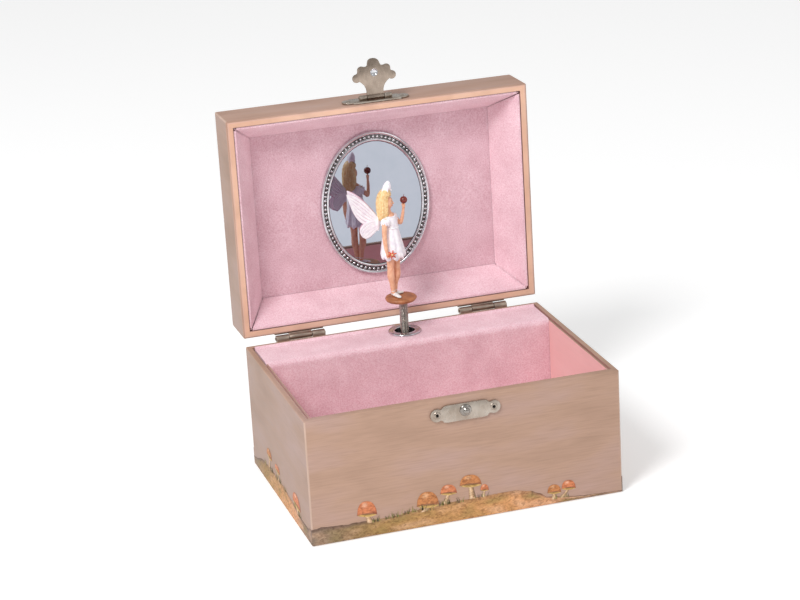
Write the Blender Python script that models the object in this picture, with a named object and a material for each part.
"""Wind-up music box with a lined tray, an oval mirror in the lid and a dancing figure.

The case is a hinged, paper-covered box.  Behind the tray an 18-note movement hangs on the back
wall: a spring barrel drives a pinned drum, the drum plucks a comb and turns the figure on its
spring post, and a fan governor holds the speed.  A butterfly key on the back winds it.

Frame: origin at the centre of the base's underside, +X right, +Y back, +Z up.  Sizes in this
file are millimetres in the frame of the shut box, and each finished mesh is scaled to metres.
The lid is then turned open about its hinge pins, and the figure stands up.
"""

import math

import bmesh
import bpy
from mathutils import Matrix, Vector

MM = 0.001  # one millimetre in metres
GAP = 0.3  # clearance between neighbouring pieces

# Case
CASE_W = 160.0
CASE_D = 115.0
BASE_H = 64.5
LID_H = 25.0
WALL = 3.4  # the sides, and all four walls of the lid
DEEP_WALL = 4.0  # the base's front and back
PANEL = 3.0  # bottom and top boards
SEAM = 0.4  # between the two rims when the lid is shut
MITRE = 0.22  # taken off each panel end, so that mitred corners clear

# Lid hinge
HINGE_Y = CASE_D / 2 + 2.65
HINGE_Z = BASE_H + 0.66
LID_OPEN = 90.8  # degrees
HINGE_X = 50.0  # centres of the two butt hinges
HINGE_W = 26.0
HINGE_EYE = 12.0  # width of the lid's knuckle
KNUCKLE_R = 1.7
HINGE_PIN_R = 0.7
LEAF_T = 0.9
LEAF_REACH = 12.0

# Tray and compartment
PARTITION_Y = 28.9  # front face of the compartment cover
COVER_TOP = 64.2
COVER_T = 2.4
COVER_END = 76.2
COVER_LIP = 1.1  # the top's back edge is turned up by this much against the back wall
COVER_ROUND = 3.0
PAD_T = 2.0
LINING_T = 0.7
LINING_TOP = 64.0

# Figure post
POST_X = 2.0
POST_Y = 44.6
POST_R = 2.25
POST_BORE = 1.6
POST_LOW = 56.0
POST_TOP = 81.0
FOLD_Z = 75.7  # height at which the spring post bends
GROMMET_R = 8.6
GROMMET_HOLE = 5.15

# Lid lining and mirror
CEILING_Z = BASE_H + SEAM + 19.0
CEILING_X = 64.4
CEILING_Y = 43.2
SLOPE_T = 1.0
SLOPE_FOOT = 0.7  # height of the slopes' lower edge over the rim
SLOPE_CORNER = 0.4
MIRROR_X = 25.4
MIRROR_Y = 33.4
FRAME_X = 29.65
FRAME_Y = 38.5
FRAME_T = 2.0

# Catch
CATCH_W = 35.7
CATCH_T = 0.8
CATCH_Z = 57.5  # height of the knob and of the nails
NAIL_X = 14.4
TONGUE_Y = -CASE_D / 2 - 2.2
TONGUE_Z = CATCH_Z + 12.5
TONGUE_HOLE = 1.95

# Movement
BED_SCREWS = [(-16.0, 12.0), (15.0, 40.0)]
COMB_X = -18.0  # line of the comb screws
COMB_SCREWS = [33.5, 42.5]
BED_BACK = CASE_D / 2 - DEEP_WALL - GAP
BED_T = 1.5
BED_FRONT = BED_BACK - BED_T
KEY_Z = 16.0  # height of the winding arbor
MODULE = 0.5
DRUM_R = 6.5
DRUM_LOW = 29.0
DRUM_HIGH = 47.0
DRUM_PIN = 0.45
NOTES = 18
DRUM_TEETH = 24
PINION_TEETH = 8
CROWN_TEETH = 38
WHEEL_TEETH = 20
WORM_STARTS = 2
WORM_R = 1.4
WORM_Z = 52.0
PINION_R = PINION_TEETH * MODULE / 2
CROWN_R = CROWN_TEETH * MODULE / 2
WHEEL_R = WHEEL_TEETH * MODULE / 2
DRUM_GEAR_R = DRUM_TEETH * MODULE / 2
GOVERNOR_X = POST_X + DRUM_GEAR_R + PINION_R
WORM_X = GOVERNOR_X + WHEEL_R + WORM_R
TOOTH_UP = 0.34
TOOTH_DOWN = 0.48

# Figure, in its own frame: x forward of the post, y to its left, z in the case's frame
FIGURE_YAW = -17.3
BODY_X = -3.4  # the body stands behind the post's centre line
DISC_R = 7.6
DISC_LOW = 81.3
DISC_T = 2.5


# ---------------------------------------------------------------- materials


def linear(channel):
    if channel <= 0.04045:
        return channel / 12.92
    return ((channel + 0.055) / 1.055) ** 2.4


def material(name, colour, roughness, metallic=0.0):
    """One Principled material per finish, shared by the pieces that have it."""
    found = bpy.data.materials.get(name)
    if found:
        return found
    made = bpy.data.materials.new(name)
    made.use_nodes = True
    shader = made.node_tree.nodes["Principled BSDF"]
    rgb = [linear(int(colour[i : i + 2], 16) / 255) for i in (0, 2, 4)]
    shader.inputs["Base Color"].default_value = (*rgb, 1.0)
    shader.inputs["Roughness"].default_value = roughness
    shader.inputs["Metallic"].default_value = metallic
    made.diffuse_color = (*rgb, 1.0)
    return made


FINISHES = {
    "printed_paper": ("BDA08C", 0.6, 0.0),
    "flocked_pink": ("E0AEBB", 0.95, 0.0),
    "lining_paper": ("E3A6A2", 0.55, 0.0),
    "satin_nickel": ("B5A89A", 0.35, 1.0),
    "chrome": ("C8C8CC", 0.12, 1.0),
    "brass": ("C9A24F", 0.3, 1.0),
    "spring_steel": ("8E9298", 0.3, 1.0),
    "zinc_casting": ("9C9C98", 0.5, 1.0),
    "mirror_glass": ("B5BDC8", 0.03, 1.0),
    "silvered_plastic": ("B9B4AE", 0.3, 1.0),
    "antique_nickel": ("77695A", 0.4, 1.0),
    "painted_figure": ("F0E6DC", 0.5, 0.0),
    "brown_plastic": ("8E5433", 0.45, 0.0),
}


# ---------------------------------------------------------------- solids in millimetres


def block(low, high):
    """A box between two corners."""
    bm = bmesh.new()
    size = Vector(high) - Vector(low)
    centre = (Vector(high) + Vector(low)) / 2
    bmesh.ops.create_cube(bm, size=1.0, matrix=Matrix.Translation(centre) @ Matrix.Diagonal((*size, 1.0)))
    return bm


def axis_turn(axis):
    """Turns +Z onto the named axis."""
    return {
        "X": Matrix.Rotation(math.pi / 2, 4, "Y"),
        "Y": Matrix.Rotation(-math.pi / 2, 4, "X"),
        "Z": Matrix.Identity(4),
    }[axis]


def turned(profile, axis="Z", centre=(0, 0, 0), segments=24):
    """Spins a closed (radius, height) profile about an axis through the centre."""
    bm = bmesh.new()
    points = [bm.verts.new((r, 0, h)) for r, h in profile]
    edges = [bm.edges.new((points[i - 1], points[i])) for i in range(len(points))]
    bmesh.ops.spin(
        bm, geom=points + edges, axis=(0, 0, 1), cent=(0, 0, 0), angle=2 * math.pi,
        steps=segments, use_merge=True, use_duplicate=False,
    )
    bmesh.ops.remove_doubles(bm, verts=bm.verts, dist=0.001)
    bmesh.ops.dissolve_degenerate(bm, edges=bm.edges, dist=0.001)
    bmesh.ops.recalc_face_normals(bm, faces=bm.faces)
    bmesh.ops.transform(bm, matrix=Matrix.Translation(centre) @ axis_turn(axis), verts=bm.verts)
    return bm


def rod(radius, low, high, axis="Z", centre=(0, 0, 0), segments=16, tip=None):
    """A cylinder or cone along an axis, from low to high measured from the centre."""
    bm = bmesh.new()
    middle = Matrix.Translation((0, 0, (low + high) / 2))
    bmesh.ops.create_cone(
        bm, cap_ends=True, segments=segments, radius1=radius, radius2=radius if tip is None else tip,
        depth=high - low, matrix=Matrix.Translation(centre) @ axis_turn(axis) @ middle,
    )
    return bm


def ball(centre, radii, segments=14, rings=9, turn=None):
    """An ellipsoid."""
    bm = bmesh.new()
    place = Matrix.Translation(centre) @ (turn or Matrix.Identity(4)) @ Matrix.Diagonal((*radii, 1.0))
    bmesh.ops.create_uvsphere(bm, u_segments=segments, v_segments=rings, radius=1.0, matrix=place)
    return bm


def slab(outline, low, high, axis="Z"):
    """Extrudes an outline along an axis.  Its points are (x, y) for Z, (x, z) for Y, (y, z) for X."""
    place = {
        "Z": lambda u, v: (u, v, low),
        "Y": lambda u, v: (u, low, v),
        "X": lambda u, v: (low, u, v),
    }[axis]
    bm = bmesh.new()
    face = bm.faces.new([bm.verts.new(place(u, v)) for u, v in outline])
    out = bmesh.ops.extrude_face_region(bm, geom=[face])
    moved = [v for v in out["geom"] if isinstance(v, bmesh.types.BMVert)]
    shift = Vector([high - low if name == axis else 0.0 for name in "XYZ"])
    bmesh.ops.translate(bm, vec=shift, verts=moved)
    bmesh.ops.recalc_face_normals(bm, faces=bm.faces)
    return bm


def loft(rings, around=False):
    """Joins rings of equally many points; the ends are capped unless the loft goes around."""
    bm = bmesh.new()
    loops = [[bm.verts.new(point) for point in ring] for ring in rings]
    count = len(loops[0])
    spans = len(loops) if around else len(loops) - 1
    for k in range(spans):
        first, second = loops[k], loops[(k + 1) % len(loops)]
        for i in range(count):
            j = (i + 1) % count
            bm.faces.new((first[i], first[j], second[j], second[i]))
    if not around:
        bm.faces.new(loops[0])
        bm.faces.new(loops[-1])
    bmesh.ops.recalc_face_normals(bm, faces=bm.faces)
    return bm


def limb(points, radii, sides=8):
    """A round limb that follows the points with a radius at each."""
    points = [Vector(p) for p in points]
    rings = []
    for k, point in enumerate(points):
        along = (points[min(k + 1, len(points) - 1)] - points[max(k - 1, 0)]).normalized()
        frame = along.to_track_quat("Z", "X").to_matrix()
        spokes = [2 * math.pi * i / sides for i in range(sides)]
        rings.append([point + frame @ Vector((math.cos(a), math.sin(a), 0)) * radii[k] for a in spokes])
    return loft(rings)


def boolean(first, second, operation):
    """Combines two solids with the exact solver and frees both."""
    objects = []
    for bm in (first, second):
        mesh = bpy.data.meshes.new("operand")
        bm.to_mesh(mesh)
        bm.free()
        operand = bpy.data.objects.new("operand", mesh)
        bpy.context.collection.objects.link(operand)
        objects.append(operand)
    step = objects[0].modifiers.new("combine", "BOOLEAN")
    step.operation = operation
    step.object = objects[1]
    step.solver = "EXACT"
    view = bpy.context.evaluated_depsgraph_get()
    result = bmesh.new()
    result.from_object(objects[0], view)
    for operand in objects:
        mesh = operand.data
        bpy.data.objects.remove(operand)
        bpy.data.meshes.remove(mesh)
    bmesh.ops.dissolve_degenerate(result, edges=result.edges, dist=0.0005)
    return result


def fused(*solids):
    result = solids[0]
    for solid in solids[1:]:
        result = boolean(result, solid, "UNION")
    return result


def cut(solid, *tools):
    for tool in tools:
        solid = boolean(solid, tool, "DIFFERENCE")
    return solid


# ---------------------------------------------------------------- objects


class Home:
    """An empty on a joint's axis, and the point of the millimetre frame that it stands for."""

    def __init__(self, name, at, parent=None, turn=(0.0, 0.0, 0.0), stands_for=None):
        self.origin = Vector(at if stands_for is None else stands_for)
        self.empty = bpy.data.objects.new(name, None)
        self.empty.empty_display_size = 0.01
        bpy.context.collection.objects.link(self.empty)
        self.empty.parent = parent.empty if parent else None
        self.empty.location = (Vector(at) - (parent.origin if parent else Vector())) * MM
        self.empty.rotation_euler = [math.radians(angle) for angle in turn]


def piece(name, bm, finish, home=None):
    """Makes the named object: its origin is its home's joint, or else the middle of the piece."""
    corners = [v.co for v in bm.verts]
    low = Vector([min(c[i] for c in corners) for i in range(3)])
    high = Vector([max(c[i] for c in corners) for i in range(3)])
    origin = home.origin if home else (low + high) / 2
    bmesh.ops.translate(bm, vec=-origin, verts=bm.verts)
    bmesh.ops.scale(bm, vec=(MM, MM, MM), verts=bm.verts)
    mesh = bpy.data.meshes.new(name)
    bm.to_mesh(mesh)
    bm.free()
    mesh.shade_smooth()
    mesh.set_sharp_from_angle(angle=math.radians(35))
    mesh.materials.append(material(finish, *FINISHES[finish]))
    obj = bpy.data.objects.new(name, mesh)
    bpy.context.collection.objects.link(obj)
    if home:
        obj.parent = home.empty
    else:
        obj.location = origin * MM
    return obj


# ---------------------------------------------------------------- case


def case_walls(prefix, low, high, deep_wall, home=None):
    """Four mitred walls around the board inside them; the back wall is returned unmade."""
    x, y = CASE_W / 2, CASE_D / 2
    inner_x, inner_y = x - WALL, y - deep_wall
    long_wall = [(MITRE - x, -y), (x - MITRE, -y), (inner_x - MITRE, -inner_y), (MITRE - inner_x, -inner_y)]
    side_wall = [(-x, MITRE - y), (-inner_x, MITRE - inner_y), (-inner_x, inner_y - MITRE), (-x, y - MITRE)]
    front = slab(long_wall, low, high)
    if prefix == "base":
        front = cut(front, *[nail_hole(nail_x) for nail_x in (-NAIL_X, 0.0, NAIL_X)])
    piece(prefix + "_front_panel", front, "printed_paper", home)
    piece(prefix + "_left_panel", slab(side_wall, low, high), "printed_paper", home)
    mirrored = [(-px, py) for px, py in reversed(side_wall)]
    piece(prefix + "_right_panel", slab(mirrored, low, high), "printed_paper", home)
    return slab([(px, -py) for px, py in reversed(long_wall)], low, high)


def case_board(name, low, deep_wall, home=None):
    x, y = CASE_W / 2 - WALL - GAP, CASE_D / 2 - deep_wall - GAP
    piece(name, block((-x, -y, low), (x, y, low + PANEL)), "printed_paper", home)


def nail_hole(x):
    return rod(1.2 if x == 0.0 else 0.95, -2, 3.2, "Y", (x, -CASE_D / 2, CATCH_Z), 12)


def make_base():
    back = case_walls("base", 0.0, BASE_H, DEEP_WALL)
    holes = [rod(3.4, -DEEP_WALL - 1, 1, "Y", (POST_X, CASE_D / 2, KEY_Z), 20)]
    holes += [rod(1.4, -DEEP_WALL - 1, 1, "Y", (x, CASE_D / 2, z), 12) for x, z in BED_SCREWS]
    piece("base_back_panel", cut(back, *holes), "printed_paper")
    case_board("base_bottom_panel", 0.0, DEEP_WALL)


def make_tray():
    inner_x, inner_y = CASE_W / 2 - WALL - GAP, CASE_D / 2 - DEEP_WALL - GAP
    floor = PANEL + GAP
    back = PARTITION_Y - GAP
    for side, name in ((-1, "left"), (1, "right")):
        xs = sorted((side * (inner_x - LINING_T), side * inner_x))
        card = block((xs[0], -inner_y, floor), (xs[1], back, LINING_TOP))
        piece("tray_lining_" + name, card, "lining_paper")
    half = inner_x - LINING_T - GAP
    card = block((-half, -inner_y, floor), (half, LINING_T - inner_y, LINING_TOP))
    piece("tray_lining_front", card, "lining_paper")
    pad = block((-half, LINING_T + GAP - inner_y, floor), (half, back, floor + PAD_T))
    piece("tray_floor_pad", pad, "flocked_pink")


def make_cover():
    """An angle of flocked board: partition, rounded front edge, and a top with the post's hole
    and a back edge that is turned up, except round the eyelet."""
    low, top, back = PANEL + GAP, COVER_TOP, CASE_D / 2 - DEEP_WALL - GAP
    outer_y, outer_z = PARTITION_Y + COVER_ROUND, top - COVER_ROUND
    arc = [math.radians(180 - 15 * k) for k in range(7)]
    outer = [(outer_y + COVER_ROUND * math.cos(a), outer_z + COVER_ROUND * math.sin(a)) for a in arc]
    inner_y, inner_z = PARTITION_Y + COVER_T, top - COVER_T
    lip = [(back - 1.6, top), (back - 0.5, top + COVER_LIP), (back, top + COVER_LIP)]
    outline = [(PARTITION_Y, low), *outer, *lip, (back, inner_z), (inner_y + 0.6, inner_z)]
    outline += [(inner_y, inner_z - 0.6), (inner_y, low)]
    hole = rod(GROMMET_R - 2.2, top - 6, top + 2, "Z", (POST_X, POST_Y, 0), 28)
    seat = rod(GROMMET_R + 0.5, top, top + 2, "Z", (POST_X, POST_Y, 0), 28)
    piece("compartment_cover", cut(slab(outline, -COVER_END, COVER_END, "X"), hole, seat), "flocked_pink")


def make_grommet():
    seat = COVER_TOP + GAP
    flange = [(GROMMET_R, seat), (GROMMET_R, seat + 0.4), (GROMMET_R - 0.5, seat + 0.8)]
    mouth = [(GROMMET_HOLE + 0.5, seat + 0.8), (GROMMET_HOLE, seat + 0.4)]
    barrel = [(GROMMET_HOLE, seat - 3.9), (GROMMET_HOLE + 0.85, seat - 3.9), (GROMMET_HOLE + 0.85, seat)]
    ring = turned(flange + mouth + barrel, "Z", (POST_X, POST_Y, 0), 28)
    piece("spindle_grommet", ring, "chrome")


def make_post():
    sleeve = [(POST_BORE, POST_LOW), (POST_R, POST_LOW), (POST_R, POST_TOP), (POST_BORE, POST_TOP)]
    piece("figure_spring", turned(sleeve, "Z", (POST_X, POST_Y, 0), 20), "chrome")


# ---------------------------------------------------------------- hinges and catch


def knuckle(x_low, x_high):
    return rod(KNUCKLE_R, x_low, x_high, "X", (0, HINGE_Y, HINGE_Z), 16)


def pin_bore(x_low, x_high):
    return rod(HINGE_PIN_R + GAP, x_low - 1, x_high + 1, "X", (0, HINGE_Y, HINGE_Z), 12)


def make_hinge(name, centre, lid_home):
    """A butt hinge of three knuckles: the base's leaf holds the outer two, the lid's the middle."""
    face = CASE_D / 2 + GAP
    left, right = centre - HINGE_W / 2, centre + HINGE_W / 2
    eye_left, eye_right = centre - HINGE_EYE / 2, centre + HINGE_EYE / 2
    clear = KNUCKLE_R + GAP
    foot = HINGE_Z - clear - LEAF_REACH
    base_leaf = block((left, face, foot), (right, face + LEAF_T, HINGE_Z - clear))
    for x_low, x_high in ((left, eye_left - GAP), (eye_right + GAP, right)):
        ear = block((x_low, face, HINGE_Z - clear - 1), (x_high, face + LEAF_T, HINGE_Z))
        base_leaf = fused(base_leaf, ear, knuckle(x_low, x_high))
    base_leaf = cut(base_leaf, pin_bore(left, right))
    piece("hinge_%s_base_leaf" % name, base_leaf, "antique_nickel")
    lid_leaf = block((left, face, HINGE_Z + clear), (right, face + LEAF_T, HINGE_Z + clear + LEAF_REACH))
    ear = block((eye_left, face, HINGE_Z), (eye_right, face + LEAF_T, HINGE_Z + clear + 1))
    lid_leaf = cut(fused(lid_leaf, ear, knuckle(eye_left, eye_right)), pin_bore(left, right))
    piece("hinge_%s_lid_leaf" % name, lid_leaf, "antique_nickel", lid_home)
    pin = rod(HINGE_PIN_R, left - 0.5, right + 0.5, "X", (0, HINGE_Y, HINGE_Z), 12)
    piece("hinge_%s_pin" % name, pin, "antique_nickel")


def catch_outline(low, high):
    """A plate with stepped shoulders and rounded ends, as (x, z) points."""
    half, middle = CATCH_W / 2, (low + high) / 2
    end_r = (high - low) / 2 - 1.0
    end_x = half - end_r
    arc = [math.radians(-75 + 25 * k) for k in range(7)]
    lobe = [(end_x + end_r * math.cos(a), middle + end_r * math.sin(a)) for a in arc]
    step = end_x - 1.6
    right = [(step, low), (step + 0.6, low + 1.0), *lobe, (step + 0.6, high - 1.0), (step, high)]
    return right + [(-x, z) for x, z in reversed(right)]


def nail(name, x, z, head, height, home=None):
    """A domed nail through the catch plate into the wall."""
    seat = CATCH_T + 2 * GAP
    dome = [(head * math.cos(a), seat + height * math.sin(a)) for a in (0.0, 0.4, 0.8, 1.2)]
    shank = 0.9 if head > 2 else 0.6
    profile = [(0, -2.8), (shank, -2.8), (shank, seat), *dome, (0, seat + height)]
    bm = turned(profile, "Y", (0, 0, 0), 16)
    turn = Matrix.Translation((x, -CASE_D / 2, z)) @ Matrix.Rotation(math.pi, 4, "Z")
    bmesh.ops.transform(bm, matrix=turn, verts=bm.verts)
    piece(name, bm, "chrome" if head > 2 else "satin_nickel", home)


def tongue_outline():
    """Half of the hasp's tongue: neck, round lobe, square shoulder and finger tab, as (x, reach)."""
    lobe = [math.radians(-72 + 18 * k) for k in range(9)]
    points = [(4.45, 1.5), (4.45, 4.2)]
    points += [(4.8 + 6.0 * math.cos(a), 10.3 + 5.6 * math.sin(a)) for a in lobe]
    points += [(5.65, 17.2), (3.9, 17.4), (3.4, 18.2), (3.4, 21.0), (2.4, 22.0)]
    return points


def make_catch(lid_home):
    face = -CASE_D / 2 - GAP
    plate = slab(catch_outline(51.8, 61.8), face - CATCH_T, face, "Y")
    plate = cut(plate, *[nail_hole(x) for x in (-NAIL_X, 0.0, NAIL_X)])
    piece("catch_base_plate", plate, "satin_nickel")
    nail("catch_knob", 0.0, CATCH_Z, 3.0, 2.0)
    nail("catch_nail_left", -NAIL_X, CATCH_Z, 1.4, 0.6)
    nail("catch_nail_right", NAIL_X, CATCH_Z, 1.4, 0.6)

    lid_plate = slab(catch_outline(65.9, 75.0), face - CATCH_T, face, "Y")
    eyes = [(-8.6, -4.75), (4.75, 8.6)]
    for x_low, x_high in eyes:
        lid_plate = fused(lid_plate, rod(1.3, x_low, x_high, "X", (0, TONGUE_Y, TONGUE_Z), 12))
    bore = rod(0.8, -9, 9, "X", (0, TONGUE_Y, TONGUE_Z), 10)
    window = block((-4.75, face - 2, TONGUE_Z - 1.7), (4.75, face + 1, TONGUE_Z + 1.7))
    piece("catch_lid_plate", cut(lid_plate, bore, window), "satin_nickel", lid_home)
    pin = rod(0.5, -9, 9, "X", (0, TONGUE_Y, TONGUE_Z), 10)
    piece("catch_tongue_pin", pin, "satin_nickel", lid_home)

    tongue_home = Home("catch_hinge_axis", (0, TONGUE_Y, TONGUE_Z), lid_home)
    half = tongue_outline()
    flat = [(x, TONGUE_Y - reach) for x, reach in half]
    flat += [(-x, TONGUE_Y - reach) for x, reach in reversed(half)]
    low, high = TONGUE_Z - CATCH_T / 2, TONGUE_Z + CATCH_T / 2
    blade = slab(flat, low, high)
    root = block((-4.45, TONGUE_Y - 2.5, low), (4.45, TONGUE_Y - 0.9, high))
    eye = rod(1.3, -4.45, 4.45, "X", (0, TONGUE_Y, TONGUE_Z), 12)
    reach = TONGUE_Z - CATCH_Z
    hole = rod(TONGUE_HOLE, -2, 2, "Z", (0, TONGUE_Y - reach, TONGUE_Z), 16)
    bore = rod(0.8, -9, 9, "X", (0, TONGUE_Y, TONGUE_Z), 10)
    piece("catch_tongue", cut(fused(blade, root, eye), hole, bore), "satin_nickel", tongue_home)


# ---------------------------------------------------------------- lid


def slope_card(side_x, side_y):
    """A sloped card from the rim's inside to the ceiling, on the side that the signs name."""
    foot, top = BASE_H + SEAM + SLOPE_FOOT, CEILING_Z - GAP
    edge = GAP + SLOPE_T + 0.1
    foot_x, foot_y = CASE_W / 2 - WALL - edge, CASE_D / 2 - WALL - edge
    c = SLOPE_CORNER
    if side_x:
        inner = [(foot_x, c - foot_y, foot), (foot_x, foot_y - c, foot)]
        inner += [(CEILING_X, CEILING_Y - c, top), (CEILING_X, c - CEILING_Y, top)]
        shift = Vector((SLOPE_T, 0, 0))
        flip = Matrix.Diagonal((side_x, 1, 1))
    else:
        inner = [(c - foot_x, foot_y, foot), (foot_x - c, foot_y, foot)]
        inner += [(CEILING_X - c, CEILING_Y, top), (c - CEILING_X, CEILING_Y, top)]
        shift = Vector((0, SLOPE_T, 0))
        flip = Matrix.Diagonal((1, side_y, 1))
    return loft([[flip @ Vector(p) for p in inner], [flip @ (Vector(p) + shift) for p in inner]])


def oval(x, y, count=44):
    angles = [2 * math.pi * i / count for i in range(count)]
    return [(x * math.cos(a), y * math.sin(a)) for a in angles]


def make_mirror(home):
    back = CEILING_Z - GAP
    front = back - FRAME_T
    steps = [(MIRROR_X, back), (MIRROR_X, front + 0.5), (MIRROR_X + 0.6, front), (FRAME_X - 1.0, front)]
    steps += [(FRAME_X, front + 1.0), (FRAME_X, back)]
    grow = MIRROR_Y - MIRROR_X
    tall = FRAME_Y - FRAME_X
    rings = []
    for i in range(44):
        a = 2 * math.pi * i / 44
        ring = []
        for x, z in steps:
            y = x + grow + (tall - grow) * (x - MIRROR_X) / (FRAME_X - MIRROR_X)
            ring.append((x * math.cos(a), y * math.sin(a), z))
        rings.append(ring)
    piece("mirror_frame", loft(rings, around=True), "silvered_plastic", home)
    glass = slab(oval(MIRROR_X - GAP, MIRROR_Y - GAP), back - 1.0, back)
    piece("mirror_glass", glass, "mirror_glass", home)


def make_lid(home):
    low = BASE_H + SEAM
    back = case_walls("lid", low, low + LID_H, WALL, home)
    piece("lid_back_panel", back, "printed_paper", home)
    board_z = low + LID_H - PANEL
    case_board("lid_top_panel", board_z, WALL, home)
    x, y = CEILING_X + 0.5, CEILING_Y + 0.5
    ceiling = block((-x, -y, CEILING_Z), (x, y, board_z - GAP))
    piece("lid_ceiling_pad", ceiling, "flocked_pink", home)
    for name, side in (("left", (-1, 0)), ("right", (1, 0)), ("front", (0, -1)), ("back", (0, 1))):
        piece("lid_slope_" + name, slope_card(*side), "flocked_pink", home)
    make_mirror(home)


# ---------------------------------------------------------------- movement


def tooth_outline(teeth, pitch_r, phase=0.0, up=TOOTH_UP, down=TOOTH_DOWN, tip=0.2, root=0.6):
    """A toothed outline: flat-topped teeth whose tip and root take a share of the pitch."""
    step = 2 * math.pi / teeth
    points = []
    corners = [(-root, pitch_r - down), (-tip, pitch_r + up), (tip, pitch_r + up), (root, pitch_r - down)]
    for k in range(teeth):
        middle = k * step + phase
        for share, radius in corners:
            angle = middle + share * step / 2
            points.append((radius * math.cos(angle), radius * math.sin(angle)))
    return points


def toothed_disc(outline, low, high, centre, twist=0.0):
    """A gear on a vertical axis; twist turns its upper face against its lower one."""
    rings = []
    for z, turn in ((low, -twist / 2), (high, twist / 2)):
        c, s = math.cos(turn), math.sin(turn)
        rings.append([(centre[0] + x * c - y * s, centre[1] + x * s + y * c, z) for x, y in outline])
    return loft(rings)


def make_bedplate():
    plate = block((-24, BED_FRONT, 6), (21, BED_BACK, 58))
    boss = block((-22.5, POST_Y + 0.9, DRUM_LOW - 0.5), (-13.5, BED_FRONT + 0.5, DRUM_HIGH + 0.5))
    holes = [rod(2.6, -1, BED_T + 1, "Y", (POST_X, BED_FRONT, KEY_Z), 16)]
    holes += [rod(1.3, -1, BED_T + 1, "Y", (x, BED_FRONT, z), 10) for x, z in BED_SCREWS]
    holes += [rod(1.2, -1, 3.4, "Y", (COMB_X, POST_Y + 0.9, z), 10) for z in COMB_SCREWS]
    piece("movement_bedplate", cut(fused(plate, boss), *holes), "zinc_casting")
    for name, (x, z) in zip(("lower", "upper"), BED_SCREWS):
        seat = CASE_D / 2 + GAP
        tip = seat - 5.3
        profile = [(0, tip), (1.0, tip), (1.0, seat), (2.6, seat), (2.4, seat + 1.0), (0, seat + 1.4)]
        piece("bedplate_screw_" + name, turned(profile, "Y", (x, 0, z), 14), "spring_steel")


def make_comb():
    """A steel comb whose teeth reach just short of the drum pins, on the drum's left."""
    low, high = DRUM_LOW + 0.3, DRUM_HIGH - 0.3
    pitch = (high - low) / NOTES
    tip_x = POST_X - DRUM_R - DRUM_PIN - 0.2
    heel_x, root_x = -22.2, -14.4
    outline = [(heel_x, low), (root_x, low)]
    for k in range(NOTES):
        z = low + k * pitch
        slit = root_x + 0.12 * k
        outline += [(tip_x, z + 0.13), (tip_x, z + pitch - 0.13)]
        if k < NOTES - 1:
            outline += [(slit, z + pitch - 0.13), (slit, z + pitch + 0.13)]
    outline += [(root_x, high), (heel_x, high)]
    plate = slab(outline, POST_Y - 0.3, POST_Y + 0.6, "Y")
    plate = cut(plate, *[rod(1.3, -2, 2, "Y", (COMB_X, POST_Y, z), 10) for z in COMB_SCREWS])
    piece("comb", plate, "spring_steel")
    for name, z in zip(("lower", "upper"), COMB_SCREWS):
        seat = POST_Y - 0.6
        tip = seat + 4.2
        profile = [(0, tip), (0.9, tip), (0.9, seat), (2.1, seat), (1.9, seat - 1.0), (0, seat - 1.2)]
        piece("comb_screw_" + name, turned(profile, "Y", (COMB_X, 0, z), 14), "brass")


def make_drum(home):
    centre = (POST_X, POST_Y, 0)
    spindle = rod(1.5, 20.6, POST_LOW - 0.6, "Z", centre, 16)
    tip = rod(1.2, POST_LOW - 1.0, COVER_TOP, "Z", centre, 14)
    pinion = toothed_disc(tooth_outline(PINION_TEETH, PINION_R, tip=0.16, root=0.6), 24.0, 27.0, centre)
    piece("drum_arbor", fused(spindle, tip, pinion), "brass", home)

    columns = 36
    bm = bmesh.new()
    bmesh.ops.create_cone(
        bm, cap_ends=False, segments=columns, radius1=DRUM_R, radius2=DRUM_R, depth=DRUM_HIGH - DRUM_LOW,
        matrix=Matrix.Translation((POST_X, POST_Y, (DRUM_LOW + DRUM_HIGH) / 2)),
    )
    uprights = [e for e in bm.edges if abs(e.verts[0].co.z - e.verts[1].co.z) > 1.0]
    bmesh.ops.subdivide_edges(bm, edges=uprights, cuts=NOTES - 1, use_grid_fill=False)
    rim = [e for e in bm.edges if e.is_boundary]
    for level in (DRUM_LOW, DRUM_HIGH):
        ring = [e for e in rim if abs(e.verts[0].co.z - level) < 0.01]
        made = bmesh.ops.extrude_edge_only(bm, edges=ring)["geom"]
        for vert in (v for v in made if isinstance(v, bmesh.types.BMVert)):
            spoke = Vector((vert.co.x - POST_X, vert.co.y - POST_Y, 0)).normalized()
            vert.co = Vector((POST_X, POST_Y, level)) + spoke * (1.5 + GAP)
    bmesh.ops.bridge_loops(bm, edges=[e for e in bm.edges if e.is_boundary])
    bmesh.ops.recalc_face_normals(bm, faces=bm.faces)
    pitch = (DRUM_HIGH - DRUM_LOW) / NOTES
    pinned = []
    for face in bm.faces:
        middle = face.calc_center_median()
        spoke = Vector((middle.x - POST_X, middle.y - POST_Y))
        if spoke.length < DRUM_R - 0.5:
            continue
        row = int((middle.z - DRUM_LOW) / pitch)
        column = int(round((math.degrees(math.atan2(spoke.y, spoke.x)) % 360 - 5) / 10))
        if (7 * row + 5 * column + row * column) % 13 == 0:
            pinned.append(face)
    bmesh.ops.inset_individual(bm, faces=pinned, thickness=0.3)
    bmesh.ops.inset_individual(bm, faces=pinned, thickness=0.03, depth=DRUM_PIN)
    piece("drum", bm, "brass", home)

    wheel = toothed_disc(tooth_outline(DRUM_TEETH, DRUM_GEAR_R), DRUM_HIGH + GAP, DRUM_HIGH + 1.6, centre)
    bore = rod(1.5 + GAP, DRUM_HIGH - 1, DRUM_HIGH + 3, "Z", centre, 16)
    piece("drum_gear", cut(wheel, bore), "brass", home)


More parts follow.
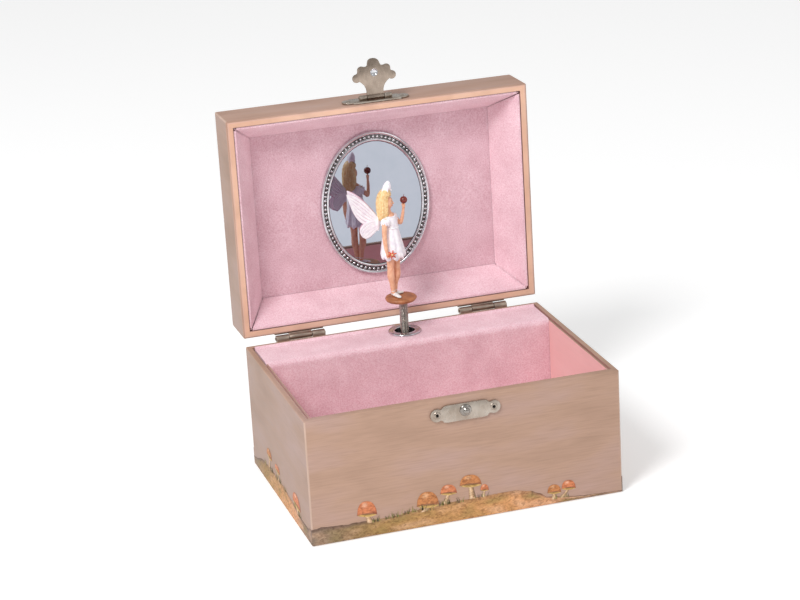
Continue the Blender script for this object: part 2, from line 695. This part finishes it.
def make_barrel(home):
    """An open cup on the key's axis; a ring of crown teeth on its back turns the drum's pinion."""
    face = POST_Y - PINION_R  # pitch plane of the crown teeth
    floor = face - 1.0
    stations = 2 * CROWN_TEETH
    rings = []
    for i in range(stations):
        angle = 2 * math.pi * (i + 1) / stations
        tip = face + 0.38 if i % 2 == 0 else face - 0.62
        profile = [(1.95, floor - 0.8), (9.3, floor - 0.8), (9.3, 33.0), (10.5, 33.0), (10.5, floor)]
        profile += [(CROWN_R + 0.6, tip), (CROWN_R - 0.6, tip), (CROWN_R - 1.0, floor), (1.95, floor)]
        ring = [(POST_X + r * math.sin(angle), y, KEY_Z + r * math.cos(angle)) for r, y in profile]
        rings.append(ring)
    piece("barrel", loft(rings, around=True), "brass", home)

    turns, per_turn, thickness = 5, 14, 0.45
    rings = []
    for i in range(turns * per_turn + 1):
        angle = 2 * math.pi * i / per_turn
        radius = 2.6 + 5.8 * i / (turns * per_turn)
        s, c = math.sin(angle), math.cos(angle)
        edge = [(radius, 34.0), (radius + thickness, 34.0), (radius + thickness, 40.0), (radius, 40.0)]
        rings.append([(POST_X + r * s, y, KEY_Z + r * c) for r, y in edge])
    piece("mainspring", loft(rings), "spring_steel", home)


def make_bridge():
    front = block((-11.5, 31.7, 12), (15.5, 32.6, 20))
    legs = [block((x, 31.7, 14), (x + 1.2, BED_FRONT - GAP, 18)) for x in (-11.5, 14.3)]
    bore = rod(1.95, 30, 34, "Y", (POST_X, 0, KEY_Z), 14)
    piece("barrel_bridge", cut(fused(front, *legs), bore), "zinc_casting")
    bracket = block((-1.5, POST_Y - 2.0, 19.6), (5.5, BED_FRONT - GAP, 22.2))
    bore = rod(1.5 + GAP, 18, 24, "Z", (POST_X, POST_Y, 0), 14)
    piece("drum_lower_bearing", cut(bracket, bore), "zinc_casting")


def make_key(home):
    arbor = rod(1.6, 31.9, CASE_D / 2 + 7.0, "Y", (POST_X, 0, KEY_Z), 14)
    piece("winding_arbor", arbor, "spring_steel", home)
    stem_low, stem_high = CASE_D / 2 + 1.2, CASE_D / 2 + 10.0
    stem = rod(2.7, stem_low, stem_high, "Y", (POST_X, 0, KEY_Z), 16)
    wing_y = CASE_D / 2 + 13.0
    arc = [math.radians(-130 + 20 * k) for k in range(14)]
    lobe = [(6.6 + 5.6 * math.cos(a), wing_y + 5.6 * math.sin(a)) for a in arc]
    outline = [(POST_X + x, y) for x, y in lobe] + [(POST_X - x, y) for x, y in reversed(lobe)]
    wings = slab(outline, KEY_Z - 0.8, KEY_Z + 0.8)
    eyes = [rod(2.9, KEY_Z - 2, KEY_Z + 2, "Z", (POST_X + x, wing_y, 0), 14) for x in (-6.9, 6.9)]
    wings = cut(wings, *eyes)
    bore = rod(1.6 + GAP, stem_low - 1, CASE_D / 2 + 7.4, "Y", (POST_X, 0, KEY_Z), 14)
    piece("winding_key", cut(fused(stem, wings), bore), "satin_nickel", home)


def make_governor(wheel_home, fan_home):
    low_z, high_z = DRUM_HIGH + 1.9, WORM_Z + 2.1
    back = BED_FRONT - GAP
    frame = fused(
        block((-1.5, 41.8, low_z), (18.4, back, low_z + 1.0)),
        block((13.6, 39.9, low_z), (18.4, 42.2, low_z + 1.0)),
        block((-1.5, back - 1.4, low_z), (18.4, back, high_z + 1.0)),
        block((5.6, 41.8, high_z), (18.4, back, high_z + 1.0)),
        block((14.2, 39.9, low_z), (18.4, 40.8, high_z - 0.4)),
    )
    frame = cut(
        frame,
        rod(1.5 + GAP, low_z - 1, low_z + 2, "Z", (POST_X, POST_Y, 0), 16),
        rod(1.0, low_z - 1, high_z + 2, "Z", (GOVERNOR_X, POST_Y, 0), 12),
        rod(0.9, 38, back + 1, "Y", (WORM_X, 0, WORM_Z), 12),
    )
    piece("governor_frame", frame, "zinc_casting")

    centre = (GOVERNOR_X, POST_Y, 0)
    arbor = rod(0.7, DRUM_HIGH + 0.2, high_z + 1.4, "Z", centre, 12)
    pinion_phase = math.pi / PINION_TEETH
    pinion_outline = tooth_outline(PINION_TEETH, PINION_R, pinion_phase, tip=0.16, root=0.6)
    pinion = toothed_disc(pinion_outline, DRUM_HIGH + GAP, DRUM_HIGH + 1.6, centre)
    thickness = 1.6
    lead = math.pi * MODULE * WORM_STARTS
    twist = thickness * lead / (2 * math.pi * WORM_R) / WHEEL_R
    wheel_outline = tooth_outline(WHEEL_TEETH, WHEEL_R, math.pi / WHEEL_TEETH, tip=0.2, root=0.5)
    low, high = WORM_Z - thickness / 2, WORM_Z + thickness / 2
    wheel = toothed_disc(wheel_outline, low, high, centre, twist)
    piece("governor_wheel", fused(arbor, pinion, wheel), "brass", wheel_home)

    slices, around = 16, 16
    worm_low, worm_high = POST_Y - 2.8, POST_Y + 2.8
    rings = []
    for k in range(slices + 1):
        y = worm_low + (worm_high - worm_low) * k / slices
        turn = 2 * math.pi * (y - POST_Y) / lead + math.pi / 2
        ring = []
        for i in range(around):
            a = 2 * math.pi * i / around
            r = WORM_R - 0.05 + 0.3 * math.cos(WORM_STARTS * (a - turn))
            ring.append((WORM_X + r * math.sin(a), y, WORM_Z + r * math.cos(a)))
        rings.append(ring)
    shaft = rod(0.6, 33.2, back - 0.2, "Y", (WORM_X, 0, WORM_Z), 10)
    piece("governor_worm", fused(loft(rings), shaft), "spring_steel", fan_home)
    blade = block((WORM_X - 4.5, 33.6, WORM_Z - 0.2), (WORM_X + 4.5, 38.6, WORM_Z + 0.2))
    hub = rod(1.3, 33.4, 39.0, "Y", (WORM_X, 0, WORM_Z), 12)
    bore = rod(0.9, 32, 40, "Y", (WORM_X, 0, WORM_Z), 10)
    piece("governor_fan", cut(fused(blade, hub), bore), "brass", fan_home)


# ---------------------------------------------------------------- figure


def make_figure(fold_home, figure_home):
    plug = rod(1.2, POST_TOP - 3.0, DISC_LOW - GAP, "Z", (0, 0, 0), 12)
    piece("figure_spring_plug", plug, "chrome", fold_home)

    low, high = DISC_LOW, DISC_LOW + DISC_T
    disc = [(0, low), (DISC_R - 1.0, low), (DISC_R, low + 0.9)]
    disc += [(DISC_R - 0.3, high - 0.5), (DISC_R - 1.2, high), (0, high)]
    piece("figure_base", turned(disc, "Z", (0, 0, 0), 24), "brown_plastic", figure_home)

    foot = high + GAP
    parts = []
    for side in (-1, 1):
        hip = (BODY_X, 1.7 * side, 110.0)
        knee = (BODY_X - 0.2, 1.5 * side, 98.5)
        ankle = (BODY_X + 0.4, 1.0 * side, foot + 1.4)
        parts.append(limb([ankle, knee, hip], [1.0, 1.35, 1.9]))
        turn = Matrix.Rotation(math.radians(28 * side), 4, "Z")
        parts.append(ball((BODY_X + 2.2, 2.0 * side, foot + 1.3), (3.6, 1.4, 1.25), 12, 8, turn))
    skirt = [(0, 122.5), (2.9, 122.5), (3.6, 118.0), (5.4, 111.0), (6.9, 105.0), (6.2, 104.2), (0, 108.0)]
    parts.append(turned(skirt, "Z", (BODY_X, 0, 0), 18))
    parts.append(ball((BODY_X - 0.4, 0, 124.6), (2.7, 3.6, 3.9)))
    parts.append(limb([(BODY_X - 0.8, 0, 127.0), (BODY_X - 1.0, 0, 131.0)], [1.3, 1.2]))
    parts.append(ball((BODY_X - 1.6, 0, 134.4), (3.7, 3.5, 4.3)))
    parts.append(ball((BODY_X - 3.2, 0, 134.4), (4.0, 4.4, 6.2)))
    parts.append(rod(3.0, 138.6, 146.4, "Z", (BODY_X - 1.6, 0, 0), 12, tip=0.5))
    near_arm = [(BODY_X, -3.6, 126.2), (BODY_X - 1.2, -5.2, 118.0), (BODY_X - 3.2, -5.6, 109.4)]
    parts.append(limb(near_arm, [1.5, 1.0, 0.9]))
    parts.append(ball((BODY_X - 3.4, -5.8, 108.4), (1.9, 1.9, 1.7), 10, 7))
    far_arm = [(BODY_X, 3.4, 126.2), (BODY_X + 4.2, 4.2, 122.6), (BODY_X + 6.8, 2.5, 133.6)]
    parts.append(limb(far_arm, [1.5, 1.1, 0.8]))
    parts.append(ball((3.8, 2.4, 134.4), (1.9, 1.9, 1.9), 10, 7))
    piece("figure_body", fused(*parts), "painted_figure", figure_home)

    wings = []
    for side in (-1, 1):
        upper = [(0, 121.5), (6.0, 123.5), (12.5, 129.5), (16.2, 137.0)]
        upper += [(15.6, 141.2), (10.0, 139.6), (3.6, 132.6), (0, 127.0)]
        lower = [(0, 119.0), (3.4, 115.4), (7.6, 115.0), (9.2, 118.4), (7.0, 122.4), (0, 124.6)]
        for outline in (upper, lower):
            blade = slab(outline, -0.4, 0.4, "Y")
            swept = Matrix.Rotation(math.radians(180 - 24 * side), 4, "Z")
            turn = Matrix.Translation((BODY_X - 7.4, 0.5 * side, 0)) @ swept
            bmesh.ops.transform(blade, matrix=turn, verts=blade.verts)
            wings.append(blade)
    spine = block((BODY_X - 8.0, -1.0, 119.6), (BODY_X - 7.0, 1.0, 126.4))
    piece("figure_wings", fused(spine, *wings), "painted_figure", figure_home)


def main():
    for old in list(bpy.data.objects):
        bpy.data.objects.remove(old)

    lid_home = Home("lid_hinge_axis", (0, HINGE_Y, HINGE_Z), turn=(-LID_OPEN, 0, 0))
    drum_home = Home("drum_axis", (POST_X, POST_Y, 0))
    key_home = Home("key_axis", (POST_X, 0, KEY_Z))
    barrel_home = Home("barrel_axis", (POST_X, 0, KEY_Z))
    wheel_home = Home("governor_wheel_axis", (GOVERNOR_X, POST_Y, 0))
    fan_home = Home("governor_fan_axis", (WORM_X, 0, WORM_Z))
    fold_home = Home("figure_fold_axis", (POST_X, POST_Y, FOLD_Z), stands_for=(0, 0, FOLD_Z))
    figure_home = Home(
        "figure_spin_axis", (0, 0, FOLD_Z), fold_home, turn=(0, 0, FIGURE_YAW), stands_for=(0, 0, FOLD_Z)
    )

    make_base()
    make_tray()
    make_cover()
    make_grommet()
    make_post()
    for name, side in (("left", -1), ("right", 1)):
        make_hinge(name, side * HINGE_X, lid_home)
    make_catch(lid_home)
    make_lid(lid_home)
    make_bedplate()
    make_comb()
    make_drum(drum_home)
    make_barrel(barrel_home)
    make_bridge()
    make_key(key_home)
    make_governor(wheel_home, fan_home)
    make_figure(fold_home, figure_home)


main()
